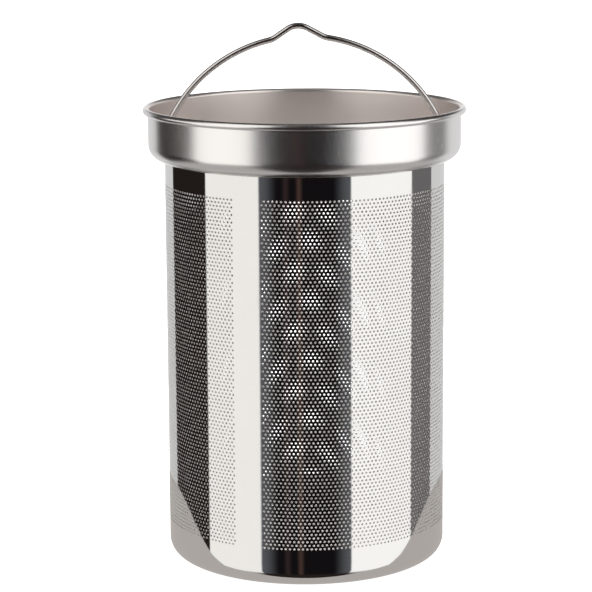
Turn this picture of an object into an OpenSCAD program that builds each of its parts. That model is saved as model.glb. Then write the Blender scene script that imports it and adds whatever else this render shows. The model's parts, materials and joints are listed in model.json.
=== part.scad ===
// Basket strainer: a perforated tube with a pressed base, a stepped collar
// with a rolled rim, and a wire bail that swings on two lugs in the collar.
// +Z is up, the origin is the middle of the base on the table, millimetres.
// The bail stands in the XZ plane and swings about X.

/* [Tube] */
// Outer diameter of the straining tube
tube_d = 70; // [58:0.5:100]
// Thickness of the tube's sheet
tube_t = 0.5; // [0.3:0.05:1]
// Height of the collar's underside above the table
body_h = 101; // [60:1:180]

/* [Base] */
// Thickness of the base's sheet
base_t = 0.5; // [0.3:0.05:1]
// Height of the base's outer wall, where the tube sits on it
base_h = 6; // [5:0.5:12]
// Outer radius of the base's lower corner
base_corner_r = 4; // [1.5:0.1:4.5]
// Least height of straight wall left above that corner
base_land = 0.5; // [0.2:0.1:1.5]
// Height of the raised panel in the base's floor
panel_rise = 0.9; // [0:0.1:2]
// Flat ring that the base stands on, measured across
foot_w = 2; // [1:0.5:5]
// Width of the sloping step round the raised panel
panel_step = 1.2; // [0.6:0.1:3]
// Height of the lip that centres the tube on the base
lip_h = 2.5; // [1:0.5:5]
// How far the lip also reaches down inside the base's wall
lip_lap = 1.4; // [1:0.1:2]
// Height of the weld band that joins the lip to the wall
lip_band = 0.8; // [0.5:0.1:1]

/* [Collar] */
// How far the collar stands out past the tube all round
collar_step = 4; // [3.5:0.1:8]
// Thickness of the collar's sheet
collar_t = 0.5; // [0.3:0.05:0.8]
// Height of the collar from its underside to the top of the rim
collar_h = 13.1; // [11:0.1:30]
// Outer radius of the collar's lower corner
collar_corner_r = 3.8; // [1.5:0.1:8]
// Outside diameter of the rolled rim's section
bead_d = 1.75; // [1.6:0.05:3]
// How far round the rim is rolled, in degrees from the top of the wall
bead_roll = 280; // [200:5:290]

/* [Bail] */
// Diameter of the bail's wire
wire_d = 1.5; // [1:0.1:2.4]
// Height of the arch's crown above the pivot, at the wire's middle
bail_rise = 26.2; // [18:0.1:27]
// Bend radius where each leg turns out into its pin
pin_bend_r = 1.5; // [1.3:0.1:2.5]
// Distance from the middle to the start of the left knee of the peak
knee_left = 8.7; // [7:0.1:11]
// Distance from the middle to the start of the right knee of the peak
knee_right = 6; // [5:0.1:9]
// Slope of the peak's left flank, in degrees
slope_left = 34.5; // [25:0.5:40]
// Slope of the peak's right flank, in degrees
slope_right = 28; // [22:0.5:36]
// Bend radius of the two knees
knee_bend_r = 5; // [2:0.1:6]
// Bend radius at the top of the peak
peak_bend_r = 4.8; // [2:0.1:6]

/* [Bail lugs] */
// Thickness of the lugs' strip
lug_t = 0.6; // [0.4:0.1:1]
// Width of a lug's bridge, along the rim
lug_w = 6; // [4:0.5:10]
// Length of each welded foot, along the rim
lug_foot = 3; // [2:0.5:5]
// Gap behind the bridge, between it and the collar's wall
lug_standoff = 1; // [0.8:0.1:2]
// How far a lug's bridge reaches above the pivot
lug_above = 3.2; // [2:0.1:4]
// How far the stop ledge reaches in from the bridge
ledge_w = 1.8; // [1:0.1:2.5]

/* [Clearances] */
// Gap left for weld metal where one sheet fits inside another
weld_gap = 0.03; // [0.01:0.01:0.1]
// Radial running clearance of the bail's pins in the lugs
pin_clear = 0.05; // [0.02:0.01:0.1]
// Clearance between the lying bail and the stop ledges
stop_clear = 0.06; // [0.03:0.01:0.2]
// Clearance between each pin's end and the collar's wall
pin_end_clear = 0.4; // [0.2:0.1:0.6]
// Clearance between the leg's bend and the lug's bridge
leg_clear = 0.25; // [0.1:0.05:0.5]
// Height of the lugs' feet above the collar's rounded corner
foot_clear = 0.2; // [0.1:0.1:1]
// How much thicker than the wire the balls that join its runs are
join_r = 0.04; // [0.03:0.01:0.08]

/* [Hidden] */
$fn = 96;
cut = 1;

tube_r = tube_d / 2;
tube_in_r = tube_r - tube_t;

base_corner = min(base_corner_r, base_h - base_land);
panel_r = tube_r - base_corner - foot_w;
lip_r = tube_in_r - weld_gap;
lip_low_z = base_h - lip_lap;

collar_r = tube_r + collar_step;
collar_in_r = collar_r - collar_t;
collar_corner = min(collar_corner_r, collar_step - weld_gap);
rim_z = body_h + collar_h;
bead_r = bead_d / 2;
bead_z = rim_z - bead_r;
bead_mid_r = collar_in_r + bead_r;

wire_r = wire_d / 2;
wall_start_z = body_h + collar_corner;
pivot_z = wall_start_z + foot_clear;
bridge_x = collar_in_r - lug_standoff - lug_t;
pin_start_x = bridge_x - leg_clear;
pin_end_x = collar_in_r - pin_end_clear;

// The arch is one arc with its middle on the axis. It passes through the crown
// and runs into the pin bends, which end level with the pivot.
arch_r = (pin_start_x * pin_start_x + bail_rise * bail_rise) / (2 * bail_rise) - pin_bend_r;
arch_z = pivot_z + bail_rise - arch_r;
leg_a = asin(pin_start_x / (arch_r + pin_bend_r));
knee_left_a = asin(knee_left / arch_r);
knee_right_a = asin(knee_right / arch_r);

// Ends of the two knees, then the point where the peak's flanks would meet.
left_end = [
    -knee_left + knee_bend_r * (sin(slope_left) - sin(knee_left_a)),
    arch_z + arch_r * cos(knee_left_a) + knee_bend_r * (cos(knee_left_a) - cos(slope_left))
];
right_end = [
    knee_right - knee_bend_r * (sin(slope_right) - sin(knee_right_a)),
    arch_z + arch_r * cos(knee_right_a) + knee_bend_r * (cos(knee_right_a) - cos(slope_right))
];
peak_x = (right_end.y - left_end.y + right_end.x * tan(slope_right) + left_end.x * tan(slope_left))
    / (tan(slope_left) + tan(slope_right));
peak_z = left_end.y + (peak_x - left_end.x) * tan(slope_left);
peak_tangent = peak_bend_r * tan((slope_left + slope_right) / 2);
peak_left = [peak_x - peak_tangent * cos(slope_left), peak_z - peak_tangent * sin(slope_left)];
peak_right = [peak_x + peak_tangent * cos(slope_right), peak_z - peak_tangent * sin(slope_right)];

function mirrored(p) = [-p.x, p.y];

// Section of a round block whose lower outer corner is rounded.
module rounded_block(r, low, high, corner) {
    difference() {
        translate([0, low]) square([r, high - low]);
        difference() {
            translate([r - corner, low]) square([corner, corner]);
            translate([r - corner, low + corner]) circle(corner);
        }
    }
}

// Section of a drawn sheet: floor, rounded corner and wall, open inside r_open.
module drawn_section(r, low, high, corner, t, r_open) {
    difference() {
        rounded_block(r, low, high, corner);
        rounded_block(r - t, low + t, high + cut, corner - t);
        translate([0, low - cut]) square([r_open, high - low + 2 * cut]);
    }
}

// Section of the rim, rolled outwards from the top of the collar's wall.
module bead_section() {
    reach = 2 * bead_d;
    translate([bead_mid_r, bead_z])
    difference() {
        circle(bead_r);
        circle(bead_r - collar_t);
        polygon([
            [0, 0],
            [-reach, 0],
            [-reach, -reach],
            [-reach * cos(bead_roll), reach * sin(bead_roll)]
        ]);
    }
}

// Rolled from perforated sheet and butt welded down its plain strip. The small
// holes of the straining field are left out of this plain wall.
module tube() {
    color([0.80, 0.80, 0.81])
    difference() {
        translate([0, 0, base_h]) cylinder(h = body_h - base_h, r = tube_r);
        translate([0, 0, base_h - cut]) cylinder(h = body_h - base_h + 2 * cut, r = tube_in_r);
    }
}

// Drawn dish with a raised panel in its floor and a lip that enters the tube.
module base() {
    floor_step = panel_r - panel_step;
    color([0.72, 0.72, 0.74])
    rotate_extrude() {
        drawn_section(tube_r, 0, base_h, base_corner, base_t, panel_r);
        polygon([
            [0, panel_rise],
            [floor_step, panel_rise],
            [panel_r, 0],
            [panel_r, base_t],
            [floor_step, panel_rise + base_t],
            [0, panel_rise + base_t]
        ]);
        translate([lip_r - base_t, lip_low_z]) square([base_t, lip_lap + lip_h]);
        translate([lip_r - base_t, lip_low_z]) square([base_t + base_t / 2, lip_band]);
    }
}

// Drawn ring that steps out from the tube, with its upper edge rolled outwards.
// Its floor is welded on the tube's end, and its opening is flush with the bore.
module collar() {
    color([0.66, 0.65, 0.64])
    rotate_extrude() {
        drawn_section(collar_r, body_h, bead_z, collar_corner, collar_t, tube_in_r);
        bead_section();
    }
}

// Folded strip on the right side: two feet on the collar's wall, a bridge with
// the hole for the bail's pin, and a ledge that stops the bail lying level.
module lug() {
    low = pivot_z;
    high = pivot_z + lug_above;
    ledge_top = pivot_z - wire_r - stop_clear;
    weld_r = collar_in_r - weld_gap;
    difference() {
        union() {
            intersection() {
                union() {
                    translate([bridge_x, -lug_w / 2, low])
                        cube([collar_step + lug_standoff, lug_w, high - low]);
                    difference() {
                        translate([bridge_x, -lug_w / 2 - lug_foot, low])
                            cube([collar_step + lug_standoff, lug_w + 2 * lug_foot, high - low]);
                        translate([0, 0, low - cut]) cylinder(h = high - low + 2 * cut, r = weld_r - lug_t);
                    }
                }
                translate([0, 0, low - cut]) cylinder(h = high - low + 2 * cut, r = weld_r);
            }
            translate([bridge_x, -lug_w / 2, ledge_top - lug_t])
                cube([lug_t, lug_w, high - ledge_top + lug_t]);
            translate([bridge_x - ledge_w, -lug_w / 2, ledge_top - lug_t])
                cube([ledge_w + lug_t / 2, lug_w, lug_t]);
        }
        translate([bridge_x + lug_t, -lug_w / 2 + lug_t, low - cut])
            cube([collar_step + lug_standoff, lug_w - 2 * lug_t, high - low + 2 * cut]);
        translate([bridge_x - cut, 0, pivot_z]) rotate([0, 90, 0])
            cylinder(h = lug_t + 2 * cut, r = wire_r + pin_clear);
    }
}

module bail_lug_right() {
    color([0.70, 0.70, 0.71]) lug();
}

module bail_lug_left() {
    color([0.70, 0.70, 0.71]) mirror([1, 0, 0]) lug();
}

// A straight run of wire between two points of the XZ plane.
module wire_run(from, to) {
    run = to - from;
    translate([from.x, 0, from.y]) rotate([0, atan2(run.x, run.y), 0])
        cylinder(h = norm(run), r = wire_r);
}

// A bend of wire in the XZ plane: its middle, radius, and start and end angles
// measured from +X towards +Z.
module wire_bend(middle, r, from_a, to_a) {
    translate([middle.x, 0, middle.y]) rotate([90, 0, 0])
        rotate_extrude(start = from_a, angle = to_a - from_a)
            translate([r, 0]) circle(wire_r);
}

// A ball a hair thicker than the wire, which joins two runs into one solid.
module wire_join(at) {
    translate([at.x, 0, at.y]) sphere(wire_r + join_r);
}

// One side of the bail on the right: its half of the arch, the bend at its
// foot and the pin.
module bail_leg(knee_a) {
    wire_bend([0, arch_z], arch_r, 90 - leg_a, 90 - knee_a);
    wire_join([0, arch_z] + arch_r * [sin(leg_a), cos(leg_a)]);
    wire_bend([pin_start_x, pivot_z + pin_bend_r], pin_bend_r, 270 - leg_a, 270);
    wire_run([pin_start_x, pivot_z], [pin_end_x, pivot_z]);
    wire_join([pin_start_x, pivot_z]);
}

// One flank of the peak on the right: the knee and the straight run up from it.
module peak_flank(knee_a, slope, low_end, high_end) {
    wire_join([0, arch_z] + arch_r * [sin(knee_a), cos(knee_a)]);
    wire_bend(low_end + knee_bend_r * [sin(slope), cos(slope)], knee_bend_r, 270 - slope, 270 - knee_a);
    wire_join(low_end);
    wire_run(low_end, high_end);
    wire_join(high_end);
}

// One length of round wire: an arch with an off-centre peak for a hook, and
// legs whose ends turn outwards into the lugs as pins.
module bail() {
    peak = peak_left + peak_bend_r * [sin(slope_left), -cos(slope_left)];
    color([0.78, 0.78, 0.79]) {
        bail_leg(knee_right_a);
        peak_flank(knee_right_a, slope_right, right_end, peak_right);
        wire_bend(peak, peak_bend_r, 90 - slope_right, 90 + slope_left);
        rotate([0, 0, 180]) {
            peak_flank(knee_left_a, slope_left, mirrored(left_end), mirrored(peak_left));
            bail_leg(knee_left_a);
        }
    }
}

tube();
base();
collar();
bail_lug_left();
bail_lug_right();
bail();
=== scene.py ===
import json
import math

import bmesh
import bpy
from mathutils import Matrix, Vector


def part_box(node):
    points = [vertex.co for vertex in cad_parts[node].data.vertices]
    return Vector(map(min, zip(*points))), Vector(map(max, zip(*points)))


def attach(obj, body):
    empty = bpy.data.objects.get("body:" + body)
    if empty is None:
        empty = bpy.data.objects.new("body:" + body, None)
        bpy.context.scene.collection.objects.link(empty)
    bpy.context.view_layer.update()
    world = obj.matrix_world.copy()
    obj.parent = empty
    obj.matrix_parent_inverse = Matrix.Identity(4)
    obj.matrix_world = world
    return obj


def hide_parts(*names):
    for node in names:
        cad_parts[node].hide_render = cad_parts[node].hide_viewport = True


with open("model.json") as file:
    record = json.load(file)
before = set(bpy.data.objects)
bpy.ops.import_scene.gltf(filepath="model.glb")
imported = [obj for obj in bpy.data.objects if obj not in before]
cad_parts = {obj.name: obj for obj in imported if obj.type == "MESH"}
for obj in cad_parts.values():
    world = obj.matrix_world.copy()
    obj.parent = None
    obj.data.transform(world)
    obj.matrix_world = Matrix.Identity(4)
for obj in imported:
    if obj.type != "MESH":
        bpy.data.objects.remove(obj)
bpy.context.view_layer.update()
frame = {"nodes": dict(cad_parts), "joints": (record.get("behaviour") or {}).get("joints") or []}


# ---------------------------------------------------------------- straining wall
# Stainless sheet, punched flat with close, staggered rows of fine holes, then
# polished, rolled into a tube and butt welded down a strip that was left plain.
mm = 0.001
tube_low, tube_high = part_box("tube")
wall_r = tube_high.x
wall_t = 0.5 * mm
hole_r = 0.29 * mm
columns = 208
punched_columns = 201
strip_angle = math.radians(-23.5)
rows = 94
row_step = 0.915 * mm
field_low = tube_low.z + 3.45 * mm
band_rows = 16

turn = 2 * math.pi
pitch = turn * wall_r / columns
around = 2 * columns


def geometry_of(shape):
    return shape.verts[:] + shape.edges[:] + shape.faces[:]


def cell(width, height, x, z, radius):
    """A cell of the flat sheet in the XZ plane, punched where radius isn't 0."""
    shape = bmesh.new()
    bmesh.ops.create_grid(shape, x_segments=2, y_segments=2, size=0.5)
    if radius:
        middle = min(shape.verts, key=lambda v: v.co.length)
        bmesh.ops.dissolve_verts(shape, verts=[middle])
        bmesh.ops.inset_individual(shape, faces=shape.faces[:], thickness=0.1)
        slug = next(f for f in shape.faces if len(f.verts) == 8)
        rim = slug.verts[:]
        bmesh.ops.delete(shape, geom=[slug], context="FACES_ONLY")
    bmesh.ops.scale(shape, vec=(width, height, 1), verts=shape.verts)
    if radius:
        for v in rim:
            v.co *= radius / v.co.length
    bmesh.ops.rotate(shape, matrix=Matrix.Rotation(math.pi / 2, 3, "X"), verts=shape.verts)
    bmesh.ops.translate(shape, vec=(x, 0, z), verts=shape.verts)
    return shape


def repeat(shape, times, step=(0, 0, 0), angle=0.0):
    """Copies the whole shape along a step, or round the tube's axis."""
    bmesh.ops.spin(
        shape, geom=geometry_of(shape), cent=(0, 0, 0), axis=(0, 0, 1),
        dvec=step, angle=angle * (times - 1), steps=times - 1, use_duplicate=True,
    )


def join(shapes):
    """Puts several shapes into the first and closes the seams between them."""
    whole = shapes[0]
    for other in shapes[1:]:
        sheet = bpy.data.meshes.new("loose")
        other.to_mesh(sheet)
        other.free()
        whole.from_mesh(sheet)
        bpy.data.meshes.remove(sheet)
    bmesh.ops.remove_doubles(whole, verts=whole.verts, dist=0.002 * mm)
    return whole


def piece(name, shape, finish, body="basket", inside=None, eye=0.0):
    """Makes a finished piece from a shape, and frees the shape.

    Faces seen from the point at height eye on the axis take the inside finish.
    """
    if inside is not None:
        for face in shape.faces:
            towards = Vector((0, 0, eye)) - face.calc_center_median()
            face.material_index = int(face.normal.dot(towards) > 0)
    mesh = bpy.data.meshes.new(name)
    shape.to_mesh(mesh)
    shape.free()
    mesh.shade_smooth()
    mesh.set_sharp_from_angle(angle=math.radians(35))
    mesh.materials.append(finish)
    if inside is not None:
        mesh.materials.append(inside)
    made = bpy.data.objects.new(name, mesh)
    bpy.context.scene.collection.objects.link(made)
    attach(made, body)
    return made


class Signal:
    """A socket of a finish. Arithmetic on it adds Math nodes; node() adds any other."""

    def __init__(self, tree, socket=None):
        self.tree = tree
        self.socket = socket

    def node(self, kind, settings, inputs, output=None):
        made = self.tree.nodes.new(kind)
        for name, value in settings.items():
            setattr(made, name, value)
        for name, value in inputs.items():
            socket = next(s for s in made.inputs if s.enabled and name in (s.name, s.identifier))
            if isinstance(value, Signal):
                self.tree.links.new(value.socket, socket)
            elif isinstance(value, tuple) and len(value) == 3 and socket.type == "RGBA":
                socket.default_value = (*value, 1)
            else:
                socket.default_value = value
        outputs = [s for s in made.outputs if s.enabled and output in (None, s.name)]
        return Signal(self.tree, outputs[0] if outputs else None)

    def maths(self, operation, first, second=None):
        inputs = {"Value": first} if second is None else {"Value": first, "Value_001": second}
        return self.node("ShaderNodeMath", {"operation": operation}, inputs)

    def __add__(self, other):
        return self.maths("ADD", self, other)

    __radd__ = __add__

    def __sub__(self, other):
        return self.maths("SUBTRACT", self, other)

    def __rsub__(self, other):
        return self.maths("SUBTRACT", other, self)

    def __mul__(self, other):
        return self.maths("MULTIPLY", self, other)

    __rmul__ = __mul__

    def __abs__(self):
        return self.maths("ABSOLUTE", self)

    def above(self, edge, softness):
        """0 below the edge, 1 above it, with a soft step between."""
        ends = {"Value": self, "From Min": edge - softness / 2, "From Max": edge + softness / 2}
        return self.node("ShaderNodeMapRange", {"interpolation_type": "SMOOTHSTEP"}, ends)

    def between(self, low, high, softness):
        return self.above(low, softness) * (1 - self.above(high, softness))

    def mix(self, first, second):
        """The colour first where this is 0, and second where it is 1."""
        inputs = {"Factor": self, "A": first, "B": second}
        return self.node("ShaderNodeMix", {"data_type": "RGBA"}, inputs)

    def parts(self):
        """The three parts of a vector."""
        split = self.node("ShaderNodeSeparateXYZ", {}, {"Vector": self}, "X").socket.node
        return [Signal(self.tree, output) for output in split.outputs]

    def noise(self, vector, scale, detail, roughness):
        inputs = {"Vector": vector, "Scale": scale, "Detail": detail, "Roughness": roughness}
        return self.node("ShaderNodeTexNoise", {}, inputs)


def new_finish(name):
    """An empty material, with the place on the object and the round coordinates."""
    material = bpy.data.materials.new(name)
    material.use_nodes = True
    tree = material.node_tree
    tree.nodes.clear()
    start = Signal(tree)
    place = start.node("ShaderNodeTexCoord", {}, {}, "Object")
    x, y, z = place.parts()
    angle = start.maths("ARCTAN2", x, 0 - y)
    return material, start, place, angle, z


def steel(start, colour, roughness, normal, metallic=1.0):
    """Bare stainless: the last nodes of each finish."""
    shader = start.node(
        "ShaderNodeBsdfPrincipled", {},
        {
            "Base Color": colour, "Roughness": roughness, "Normal": normal,
            "Metallic": metallic,
        },
    )
    start.node("ShaderNodeOutputMaterial", {}, {"Surface": shader})


def polished_finish(name, along_z, across_angle, warmth):
    """Mirror-polished sheet: faint buffing lines, rubbed patches and a slight wave."""
    material, start, place, angle, z = new_finish(name)
    lines_at = start.node(
        "ShaderNodeCombineXYZ", {},
        {"X": angle * across_angle, "Y": z * along_z, "Z": 0.0},
    )
    lines = start.noise(lines_at, 1.0, 3.0, 0.6)
    rubbed = start.noise(place, 90.0, 3.0, 0.55)
    wave = start.noise(place, 45.0, 1.0, 0.4)
    colour = rubbed.mix((0.80, 0.795, 0.785), warmth)
    roughness = 0.028 + lines * 0.03 + rubbed.above(0.6, 0.3) * 0.03
    height = wave * 1.0 + lines * 0.012
    normal = start.node(
        "ShaderNodeBump", {}, {"Strength": 1.0, "Distance": 0.012 * mm, "Height": height}
    )
    steel(start, colour, roughness, normal)
    return material


def satin_finish(name, base, roughness, grain, bare=1.0):
    """Fine satin: a close random grain with faint lines left by the spinning tool."""
    material, start, place, angle, z = new_finish(name)
    turned_at = start.node(
        "ShaderNodeCombineXYZ", {}, {"X": angle * 9.0, "Y": z * 5200.0, "Z": 0.0}
    )
    turned = start.noise(turned_at, 1.0, 2.0, 0.6)
    speckle = start.noise(place, 3200.0, 2.0, 0.6)
    patches = start.noise(place, 60.0, 3.0, 0.6)
    darker = tuple(0.94 * c for c in base)
    colour = (speckle * 0.6 + patches * 0.4).mix(darker, base)
    matt = roughness + (patches - 0.5) * 0.06 + (speckle - 0.5) * 0.08
    height = speckle * 0.8 + turned * 0.35
    normal = start.node(
        "ShaderNodeBump", {}, {"Strength": 1.0, "Distance": grain, "Height": height}
    )
    steel(start, colour, matt, normal, metallic=bare)
    return material


tube_steel = polished_finish("polished tube sheet", 30.0, 900.0, (0.765, 0.752, 0.738))
dull_steel = satin_finish("unpolished inside", (0.93, 0.91, 0.895), 0.38, 0.003 * mm, 0.68)
inside_eye = 10 * mm


def cell_pair(radius, first):
    """Two cells of neighbouring rows, the upper half a pitch further on."""
    low = cell(pitch, row_step, 0, row_step / 2, radius)
    high = cell(pitch, row_step, 0, row_step * 1.5, radius)
    for shape, shift in ((low, first), (high, first + 0.5)):
        bmesh.ops.translate(shape, vec=(0, -wall_r, 0), verts=shape.verts)
        for v in shape.verts:
            reach = math.hypot(v.co.x, v.co.y)
            v.co.x *= wall_r / reach
            v.co.y *= wall_r / reach
        bmesh.ops.rotate(
            shape, matrix=Matrix.Rotation(shift * turn / columns, 3, "Z"), verts=shape.verts
        )
    return join([low, high])


def wall_ring():
    """One pair of rows all round, with the plain strip."""
    strip_columns = columns - punched_columns
    punched = cell_pair(hole_r, strip_columns / 2 + 0.25)
    repeat(punched, punched_columns, angle=turn / columns)
    plain = cell_pair(0, 0.25 - strip_columns / 2)
    repeat(plain, strip_columns, angle=turn / columns)
    ring = join([punched, plain])
    bmesh.ops.rotate(ring, matrix=Matrix.Rotation(strip_angle, 3, "Z"), verts=ring.verts)
    return ring


for first_row in range(0, rows, band_rows):
    pairs = min(band_rows, rows - first_row) // 2
    band = wall_ring()
    bmesh.ops.translate(band, vec=(0, 0, field_low + first_row * row_step), verts=band.verts)
    repeat(band, pairs, step=(0, 0, 2 * row_step))
    band = join([band])
    bmesh.ops.recalc_face_normals(band, faces=band.faces)
    bmesh.ops.solidify(band, geom=band.faces[:], thickness=wall_t)
    name = f"straining_wall_{first_row // band_rows + 1}"
    made = piece(name, band, tube_steel, "basket", dull_steel, inside_eye)
    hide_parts("tube")


class Section:
    """The section of a sheet in the XZ plane, drawn with a pen and then spun."""

    def __init__(self, x, z):
        self.shape = bmesh.new()
        self.start = self.tip = self.shape.verts.new((x, 0, z))

    def line(self, x, z):
        made = bmesh.ops.extrude_vert_indiv(self.shape, verts=[self.tip])
        self.tip = made["verts"][0]
        self.tip.co = (x, 0, z)

    def arc(self, x, z, degrees, steps):
        """Turns the pen about a point; positive degrees turn it from +X towards +Z."""
        made = bmesh.ops.spin(
            self.shape, geom=[self.tip], cent=(x, 0, z), axis=(0, -1, 0),
            angle=math.radians(degrees), steps=steps,
        )
        self.tip = next(v for v in made["geom_last"] if isinstance(v, bmesh.types.BMVert))

    def close(self):
        self.shape.edges.new((self.tip, self.start))

    def spun(self, steps):
        bmesh.ops.spin(
            self.shape, geom=geometry_of(self.shape), cent=(0, 0, 0), axis=(0, 0, 1),
            angle=turn, steps=steps, use_merge=True,
        )
        bmesh.ops.remove_doubles(self.shape, verts=self.shape.verts, dist=0.001 * mm)
        bmesh.ops.recalc_face_normals(self.shape, faces=self.shape.faces)
        return self.shape


# Plain margins above and below the holes, where the sheet was not punched.
field_high = field_low + rows * row_step
for name, low, high in (
    ("wall_margin_lower", tube_low.z, field_low),
    ("wall_margin_upper", field_high, tube_high.z),
):
    margin = Section(wall_r, low)
    margin.line(wall_r, high)
    margin.line(wall_r - wall_t, high)
    margin.line(wall_r - wall_t, low)
    margin.close()
    shape = margin.spun(around)
    bmesh.ops.rotate(shape, matrix=Matrix.Rotation(strip_angle, 3, "Z"), verts=shape.verts)
    made = piece(name, shape, tube_steel, "basket", dull_steel, inside_eye)
    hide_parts("tube")


# ---------------------------------------------------------------- base
# A shallow dish drawn from the same sheet, polished, with a rounded lower corner
# and a raised panel. Its lip stands inside the tube, and the two are welded.
base_low, base_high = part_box("base")
base_r = wall_r
base_t = 0.5 * mm
base_corner = 4.0 * mm
seat_z = tube_low.z
foot_w = 2.0 * mm
panel_rise = 0.9 * mm
panel_step = 1.2 * mm
fit_gap = 0.03 * mm
lip_r = base_r - wall_t - fit_gap
lip_lap = 1.4 * mm
lip_band = 0.8 * mm
foot_r = base_r - base_corner
panel_r = foot_r - foot_w
drained_r = panel_r - panel_step

base_steel = polished_finish("polished base sheet", 1400.0, 6.0, (0.77, 0.757, 0.743))

dish = Section(base_r, seat_z)
dish.line(base_r, base_corner)
dish.arc(foot_r, base_corner, -90, 20)
dish.line(panel_r, 0)
dish.line(drained_r, panel_rise)
dish.line(drained_r, panel_rise + base_t)
dish.line(panel_r, base_t)
dish.line(foot_r, base_t)
dish.arc(foot_r, base_corner, 90, 20)
dish.line(base_r - base_t, seat_z - lip_lap)
dish.line(lip_r - base_t, seat_z - lip_lap)
dish.line(lip_r - base_t, base_high.z)
dish.line(lip_r, base_high.z)
dish.line(lip_r, seat_z - lip_lap + lip_band)
dish.line(base_r - base_t, seat_z - lip_lap + lip_band)
dish.line(base_r - base_t, seat_z)
dish.close()
shape = dish.spun(around)
made = piece("base_dish", shape, base_steel, "basket", dull_steel, inside_eye)
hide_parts("base")

# The panel is punched with coarser drain holes inside a plain border.
drain_r = 0.6 * mm
drain_pitch = 2.4 * mm
drain_row = drain_pitch * math.sqrt(3) / 2
drain_half = 10
drain_border = 2.2 * mm
panel = cell(drain_pitch, drain_row, 0, 0, 0)
bmesh.ops.dissolve_faces(panel, faces=panel.faces[:])
upper = panel.copy()
bmesh.ops.translate(upper, vec=(drain_pitch / 2, 0, drain_row), verts=upper.verts)
panel = join([panel, upper])
repeat(panel, 2 * drain_half + 1, step=(drain_pitch, 0, 0))
repeat(panel, drain_half + 2, step=(0, 0, 2 * drain_row))
bmesh.ops.translate(
    panel, vec=(-drain_half * drain_pitch, 0, -(drain_half + 1) * drain_row), verts=panel.verts
)
bmesh.ops.remove_doubles(panel, verts=panel.verts, dist=0.002 * mm)
drain_reach = drained_r - drain_border
outside = [f for f in panel.faces if f.calc_center_bounds().length > drain_reach]
bmesh.ops.delete(panel, geom=outside, context="FACES")
border = [e for e in panel.edges if e.is_boundary]
rim = bmesh.ops.create_circle(
    panel, segments=around, radius=drained_r, matrix=Matrix.Rotation(math.pi / 2, 4, "X")
)
border += list({e for v in rim["verts"] for e in v.link_edges})
cells = panel.faces[:]
bmesh.ops.triangle_fill(panel, use_beauty=True, edges=border)
bmesh.ops.inset_individual(panel, faces=cells, thickness=0.3 * mm)
for slug in cells:
    middle = slug.calc_center_bounds()
    for v in slug.verts:
        v.co = middle + (v.co - middle).normalized() * drain_r
bmesh.ops.delete(panel, geom=cells, context="FACES_ONLY")
bmesh.ops.rotate(panel, matrix=Matrix.Rotation(-math.pi / 2, 3, "X"), verts=panel.verts)
bmesh.ops.translate(panel, vec=(0, 0, panel_rise + base_t), verts=panel.verts)
bmesh.ops.recalc_face_normals(panel, faces=panel.faces)
if sum(f.normal.z for f in panel.faces) < 0:
    bmesh.ops.reverse_faces(panel, faces=panel.faces)
bmesh.ops.solidify(panel, geom=panel.faces[:], thickness=base_t)
name = "base_drain_panel"
made = piece(name, panel, base_steel, "basket", dull_steel, inside_eye)
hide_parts("base")


# ---------------------------------------------------------------- collar
# A ring drawn from satin sheet that steps out from the tube's top, with its
# upper edge rolled outwards. It is welded to the tube's end all round.
collar_low, collar_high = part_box("collar")
collar_t = 0.5 * mm
bead_r = 0.875 * mm
rim_r = collar_high.x
collar_r = rim_r - 2 * bead_r + collar_t
collar_corner = 3.8 * mm
bead_x = rim_r - bead_r
bead_z = collar_high.z - bead_r
bead_roll = 280
collar_z = collar_low.z
corner_x = collar_r - collar_corner
corner_z = collar_z + collar_corner

collar_steel = satin_finish("satin collar sheet", (0.95, 0.93, 0.92), 0.25, 0.0025 * mm)
collar_inside = satin_finish("collar inside", (0.90, 0.84, 0.815), 0.30, 0.0025 * mm, 0.965)

ring = Section(wall_r - wall_t, collar_z)
ring.line(corner_x, collar_z)
ring.arc(corner_x, corner_z, 90, 20)
ring.line(collar_r, bead_z)
ring.arc(bead_x, bead_z, -bead_roll, 40)
ring.line(
    bead_x + bead_r * math.cos(math.radians(180 - bead_roll)),
    bead_z + bead_r * math.sin(math.radians(180 - bead_roll)),
)
ring.arc(bead_x, bead_z, bead_roll, 40)
ring.line(collar_r - collar_t, corner_z)
ring.arc(corner_x, corner_z, -90, 20)
ring.line(wall_r - wall_t, collar_z + collar_t)
ring.close()
collar_eye = collar_z + 3 * mm
shape = ring.spun(256)
made = piece(
    "collar_ring", shape, collar_steel, "basket", collar_inside, collar_eye
)
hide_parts("collar")

# The weld: a thin fillet of metal in the corner between tube and collar.
weld_leg = 0.22 * mm
weld_sink = 0.05 * mm
weld_steel = satin_finish("dressed weld", (0.74, 0.71, 0.67), 0.24, 0.006 * mm)
fillet = Section(wall_r - weld_sink, collar_z - weld_leg)
fillet.line(wall_r, collar_z - weld_leg)
fillet.arc(wall_r + weld_leg, collar_z - weld_leg, -90, 6)
fillet.line(wall_r + weld_leg, collar_z)
fillet.line(wall_r - weld_sink, collar_z)
fillet.close()
piece("collar_weld", fillet.spun(around), weld_steel)


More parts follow.
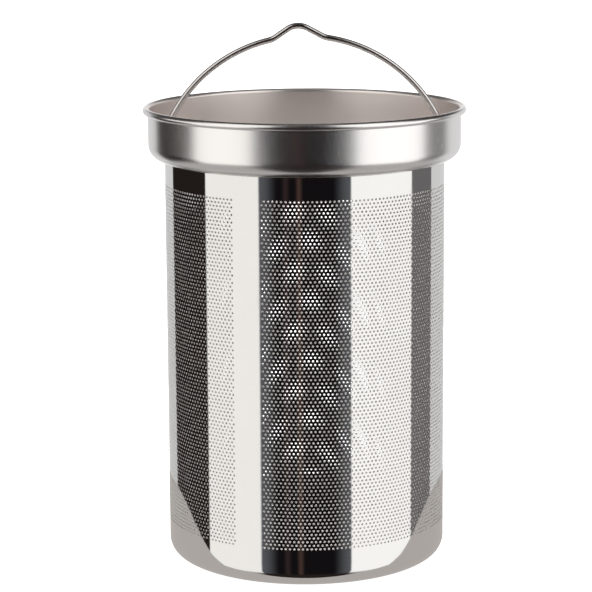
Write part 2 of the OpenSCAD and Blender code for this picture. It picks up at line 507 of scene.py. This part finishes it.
# ---------------------------------------------------------------- bail lugs
# Two folded strips of stainless, spot welded by their feet to the inside of the
# collar's wall. The bail's pins turn in the holes of their bridges.
lug_steel = satin_finish("pressed lug strip", (0.76, 0.75, 0.735), 0.33, 0.006 * mm)
lug_t = 0.6 * mm
foot_middle = 4.5 * mm
nugget_r = 0.8 * mm
nugget_flatness = 0.14
for side, node in ((-1, "bail_lug_left"), (1, "bail_lug_right")):
    strip = frame["nodes"][node]
    for slot in strip.material_slots:
        slot.material = lug_steel
    lug_low, lug_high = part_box(node)
    foot_z = (lug_high.z + frame["joints"][0]["pos_m"][2]) / 2
    face_r = collar_r - collar_t - fit_gap - lug_t
    for end in (-1, 1):
        nugget = bmesh.new()
        bmesh.ops.create_uvsphere(nugget, u_segments=24, v_segments=12, radius=nugget_r)
        bmesh.ops.scale(nugget, vec=(nugget_flatness, 1, 1), verts=nugget.verts)
        bmesh.ops.translate(nugget, vec=(-face_r, 0, foot_z), verts=nugget.verts)
        swing = math.asin(end * foot_middle / face_r) + (math.pi if side > 0 else 0)
        bmesh.ops.rotate(nugget, matrix=Matrix.Rotation(swing, 3, "Z"), verts=nugget.verts)
        label = "left" if side < 0 else "right"
        row = "front" if end * side > 0 else "back"
        piece(f"lug_weld_{label}_{row}", nugget, weld_steel)


# ---------------------------------------------------------------- bail
# One length of bright drawn stainless wire, bent to an arch with a small
# off-centre peak for a hook. Its ends turn outwards into the lugs as pins.
wire_r = 0.75 * mm
pivot_z = frame["joints"][0]["pos_m"][2]
bail_rise = 26.2 * mm
pin_bend_r = 1.5 * mm
pin_start = 36.65 * mm
pin_end = 38.1 * mm
knees = {"right": (6.0 * mm, 28.0), "left": (8.7 * mm, 34.5)}
knee_bend_r = 5.0 * mm
peak_bend_r = 4.8 * mm

arch_r = (pin_start**2 + bail_rise**2) / (2 * bail_rise) - pin_bend_r
arch_z = pivot_z + bail_rise - arch_r
leg_angle = math.degrees(math.asin(pin_start / (arch_r + pin_bend_r)))


def flank(side):
    """Where a knee starts, in degrees from the top of the arch, and where it ends."""
    reach, slope = knees[side]
    start = math.degrees(math.asin(reach / arch_r))
    sine, cosine = math.sin(math.radians(start)), math.cos(math.radians(start))
    x = reach - knee_bend_r * (math.sin(math.radians(slope)) - sine)
    z = arch_z + arch_r * cosine + knee_bend_r * (cosine - math.cos(math.radians(slope)))
    return start, slope, x, z


def wire_finish():
    """Bright drawn wire: die lines run along it, with a soft rubbed sheen."""
    material, start, place, angle, z = new_finish("bright bail wire")
    across = place.parts()[1]
    lines_at = start.node(
        "ShaderNodeCombineXYZ", {},
        {"X": across * 6000.0, "Y": 0.0, "Z": z * 40.0},
    )
    lines = start.noise(lines_at, 1.0, 2.0, 0.6)
    rubbed = start.noise(place, 160.0, 2.0, 0.5)
    colour = rubbed.mix((0.76, 0.735, 0.72), (0.70, 0.67, 0.655))
    roughness = 0.11 + lines * 0.08 + rubbed * 0.04
    normal = start.node(
        "ShaderNodeBump", {}, {"Strength": 1.0, "Distance": 0.002 * mm, "Height": lines}
    )
    steel(start, colour, roughness, normal)
    return material


class Wire:
    """A round wire, fed out of its end straight or round a bending former."""

    def __init__(self, x, z, sides=28):
        self.shape = bmesh.new()
        turned = Matrix.Translation((x, 0, z)) @ Matrix.Rotation(math.pi / 2, 4, "Y")
        made = bmesh.ops.create_circle(
            self.shape, segments=sides, radius=wire_r, cap_ends=True, matrix=turned
        )
        self.end = list({e for v in made["verts"] for e in v.link_edges})

    def feed(self, x, z):
        made = bmesh.ops.extrude_edge_only(self.shape, edges=self.end)
        ring = [g for g in made["geom"] if isinstance(g, bmesh.types.BMVert)]
        self.end = [g for g in made["geom"] if isinstance(g, bmesh.types.BMEdge)]
        bmesh.ops.translate(self.shape, vec=(x, 0, z), verts=ring)
        self.end = [e for e in self.end if all(v in ring for v in e.verts)]

    def bend(self, x, z, degrees, steps):
        made = bmesh.ops.spin(
            self.shape, geom=self.end, cent=(x, 0, z), axis=(0, -1, 0),
            angle=math.radians(degrees), steps=steps,
        )
        self.end = [g for g in made["geom_last"] if isinstance(g, bmesh.types.BMEdge)]

    def finished(self):
        bmesh.ops.contextual_create(self.shape, geom=self.end)
        bmesh.ops.recalc_face_normals(self.shape, faces=self.shape.faces)
        ends = [e for f in self.shape.faces if len(f.verts) > 4 for e in f.edges]
        bmesh.ops.bevel(
            self.shape, geom=ends, affect="EDGES", offset=0.15 * mm, segments=3,
            profile=0.5, material=-1,
        )
        return self.shape


right_start, right_slope, right_x, right_z = flank("right")
left_start, left_slope, left_x, left_z = flank("left")
right_tan = math.tan(math.radians(right_slope))
left_tan = math.tan(math.radians(left_slope))
peak_x = (right_z - left_z + right_x * right_tan - left_x * left_tan) / (right_tan + left_tan)
cut_back = peak_bend_r * math.tan(math.radians((right_slope + left_slope) / 2))
right_run = (right_x - peak_x) / math.cos(math.radians(right_slope)) - cut_back
left_run = (left_x + peak_x) / math.cos(math.radians(left_slope)) - cut_back


def polar(x, z, radius, degrees):
    """A point at a distance and direction from another, from +X towards +Z."""
    turned = math.radians(degrees)
    return x + radius * math.cos(turned), z + radius * math.sin(turned)


wire = Wire(pin_end, pivot_z)
wire.feed(pin_start - pin_end, 0)
wire.bend(pin_start, pivot_z + pin_bend_r, -leg_angle, 10)
wire.bend(0, arch_z, leg_angle - right_start, 64)
knee = polar(0, arch_z, arch_r + knee_bend_r, 90 - right_start)
wire.bend(*knee, right_start - right_slope, 12)
wire.feed(*polar(0, 0, right_run, 180 - right_slope))
right_top = polar(right_x, right_z, right_run, 180 - right_slope)
wire.bend(*polar(*right_top, peak_bend_r, -90 - right_slope), right_slope + left_slope, 20)
wire.feed(*polar(0, 0, left_run, 180 + left_slope))
wire.bend(*polar(-left_x, left_z, knee_bend_r, 90 + left_slope), left_start - left_slope, 12)
wire.bend(0, arch_z, leg_angle - left_start, 64)
wire.bend(-pin_start, pivot_z + pin_bend_r, -leg_angle, 10)
wire.feed(pin_start - pin_end, 0)
made = piece("bail_wire", wire.finished(), wire_finish(), "bail")
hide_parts("bail")


# ---------------------------------------------------------------- studio
# A plain pale table top under white panels on both sides, with dark gaps
# between them that give the polished steel its upright bands. A warm-grey disc that
# glows, hidden from the camera, from diffuse light and from shadows, lies under the basket
# with its front edge just before the basket's: a painted reflection, seen only in the steel,
# that darkens the lower edge of the base.
def flat_stage(name, shape):
    mesh = bpy.data.meshes.new(name)
    shape.to_mesh(mesh)
    shape.free()
    made = bpy.data.objects.new(name, mesh)
    bpy.context.scene.collection.objects.link(made)
    return made


def pale_paint(name, shade, tint, glow):
    material, start, place, angle, z = new_finish(name)
    mottle = start.noise(place, 3.0, 2.0, 0.5)
    lighter = tuple(1.03 * c for c in shade)
    paint = start.node(
        "ShaderNodeBsdfPrincipled", {},
        {
            "Base Color": mottle.mix(shade, lighter), "Roughness": 0.8,
            "Specular IOR Level": 0.1, "Emission Color": tint,
            "Emission Strength": glow,
        },
    )
    start.node("ShaderNodeOutputMaterial", {}, {"Surface": paint})
    return material


shape = bmesh.new()
bmesh.ops.create_grid(shape, x_segments=8, y_segments=8, size=4.0)
table = flat_stage("table_top", shape)
paint = pale_paint("pale table top", (0.62, 0.62, 0.62), (1.0, 1.0, 1.0), 0.9)
table.data.materials.append(paint)
table.visible_glossy = False

# Painted reflection: this disc glows warm grey and shows only in the steel, darkening the base's
# lower edge.
reflection_disc_lie = Matrix.Translation((0, 0.025, 0)) @ Matrix.Diagonal((0.083, 0.0614, 1, 1))
shape = bmesh.new()
bmesh.ops.create_circle(shape, segments=96, radius=1.0, cap_ends=True, matrix=reflection_disc_lie)
reflection_disc = flat_stage("oval_plate", shape)
paint = pale_paint("oval plate", (0.08, 0.08, 0.08), (1.0, 0.93, 0.885), 0.41)
reflection_disc.data.materials.append(paint)
reflection_disc.visible_camera = False
reflection_disc.visible_diffuse = False
reflection_disc.visible_shadow = False

world = bpy.data.worlds.new("studio")
bpy.context.scene.world = world
world.use_nodes = True
world.node_tree.nodes.clear()
sky = Signal(world.node_tree)
heading = sky.node("ShaderNodeTexCoord", {}, {}, "Generated")
east, north, up = heading.parts()
bearing = sky.maths("ARCTAN2", east, 0 - north) * (180 / math.pi)
height = sky.maths("ARCSINE", up) * (180 / math.pi)
away = abs(bearing)

# Directions are in degrees: the bearing from the front, positive to the right,
# and the height above the level. Higher up, the dark gaps are narrower.
seen = away.above(165, 10).mix((0.72, 0.72, 0.725), (1.1, 1.1, 1.1))
taper = height.above(-3, 5)
left_edge = -88 - taper * 26
right_edge = 97 + taper * 9
for low, high, softness, colour in (
    (-137, left_edge, 1.5, (0.018, 0.013, 0.012)),
    (right_edge, 126 - taper * 6, 1.5, (0.16, 0.155, 0.157)),
    (left_edge, -38 + taper * 12, 1.2, (1.06, 1.045, 1.015)),
    (37 - taper * 14, right_edge, 1.2, (1.16, 1.155, 1.14)),
):
    seen = bearing.between(low, high, softness).mix(seen, colour)
room = away.above(29, 14).mix((0.007, 0.006, 0.007), (0.10, 0.105, 0.115))
room = bearing.between(-17.5, -13.5, 4).mix(room, (0.032, 0.020, 0.021))
room = bearing.between(-6.5, -3.0, 3.5).mix(room, (0.065, 0.038, 0.032))
ahead = away.between(-1, 37.5 - taper * 13, 1.8).mix(seen, room)
below = away.above(42, 14).mix((0.02, 0.015, 0.014), (0.42, 0.41, 0.40))
below = away.above(150, 30).mix(below, (0.07, 0.063, 0.06))
low = height.above(-30, 12).mix(below, ahead)
lofty = (height.above(16, 10) * away.above(85, 30)).mix(low, (0.045, 0.04, 0.038))
overhead = height.above(60, 12).mix(lofty, (0.10, 0.095, 0.09))
by_camera = sky.node("ShaderNodeLightPath", {}, {}, "Is Camera Ray")
shown = by_camera.mix(overhead, (1.1, 1.1, 1.1))
glow = sky.node("ShaderNodeBackground", {}, {"Color": shown, "Strength": 1.0})
sky.node("ShaderNodeOutputWorld", {}, {"Surface": glow})

lamp_data = bpy.data.lights.new("overhead_panel", "AREA")
lamp_data.shape = "RECTANGLE"
lamp_data.size = 1.2
lamp_data.size_y = 0.9
lamp_data.energy = 45.0
lamp = bpy.data.objects.new("overhead_panel", lamp_data)
lamp.location = (0.0, 0.1, 1.3)
lamp.visible_glossy = False
bpy.context.scene.collection.objects.link(lamp)

camera_data = bpy.data.cameras.new("camera")
camera_data.sensor_width = 36.0
camera_data.lens = 142.7
camera_data.shift_x = -0.0157
camera_data.shift_y = -0.0191
camera_data.clip_start = 0.01
camera_data.clip_end = 30.0
camera = bpy.data.objects.new("camera", camera_data)
camera.location = (0.0, -0.5815, 0.1796)
camera.rotation_euler = (math.radians(90 - 10.809), 0, 0)
camera.rotation_euler.rotate_axis("Z", math.radians(-0.292))
bpy.context.scene.collection.objects.link(camera)
bpy.context.scene.camera = camera
bpy.context.scene.view_settings.view_transform = "Standard"
